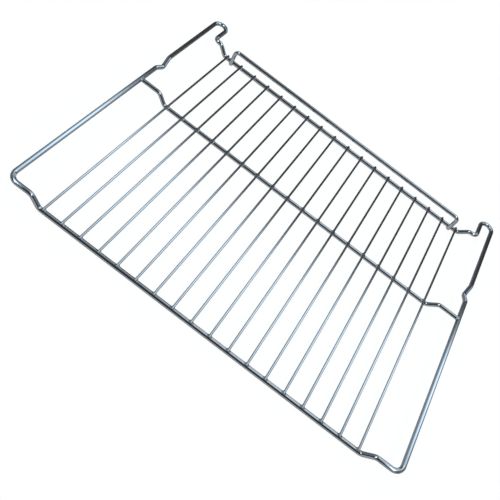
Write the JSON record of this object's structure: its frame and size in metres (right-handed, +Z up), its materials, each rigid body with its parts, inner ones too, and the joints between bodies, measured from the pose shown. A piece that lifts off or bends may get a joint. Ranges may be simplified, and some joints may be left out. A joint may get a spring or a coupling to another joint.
{
  "type": "oven shelf rack",
  "caption": "Chromed wire oven shelf: straight rungs on stepped cross wires, in a bent wire loop with side runners, stop notches, rear horns and a raised rear rail.",
  "frame": {"origin": "under the middle of the rack, on the surface that its cross wires rest on", "axes": "+X to the right along the cross wires, +Y along the rungs to the rear, +Z up"},
  "size_m": [0.4644, 0.389, 0.0267],
  "materials": {
    "chrome_wire": "bright chrome plating on steel wire"
  },
  "bodies": {
    "root": {"outer_frame": "chrome_wire", "middle_bar": "chrome_wire", "rear_rail": "chrome_wire", "rung_01": "chrome_wire", "rung_02": "chrome_wire", "rung_03": "chrome_wire", "rung_04": "chrome_wire", "rung_05": "chrome_wire", "rung_06": "chrome_wire", "rung_07": "chrome_wire", "rung_08": "chrome_wire", "rung_09": "chrome_wire", "rung_10": "chrome_wire", "rung_11": "chrome_wire", "rung_12": "chrome_wire", "rung_13": "chrome_wire", "rung_14": "chrome_wire", "rung_15": "chrome_wire", "rung_16": "chrome_wire", "rung_17": "chrome_wire", "rung_18": "chrome_wire"}
  },
  "joints": []
}
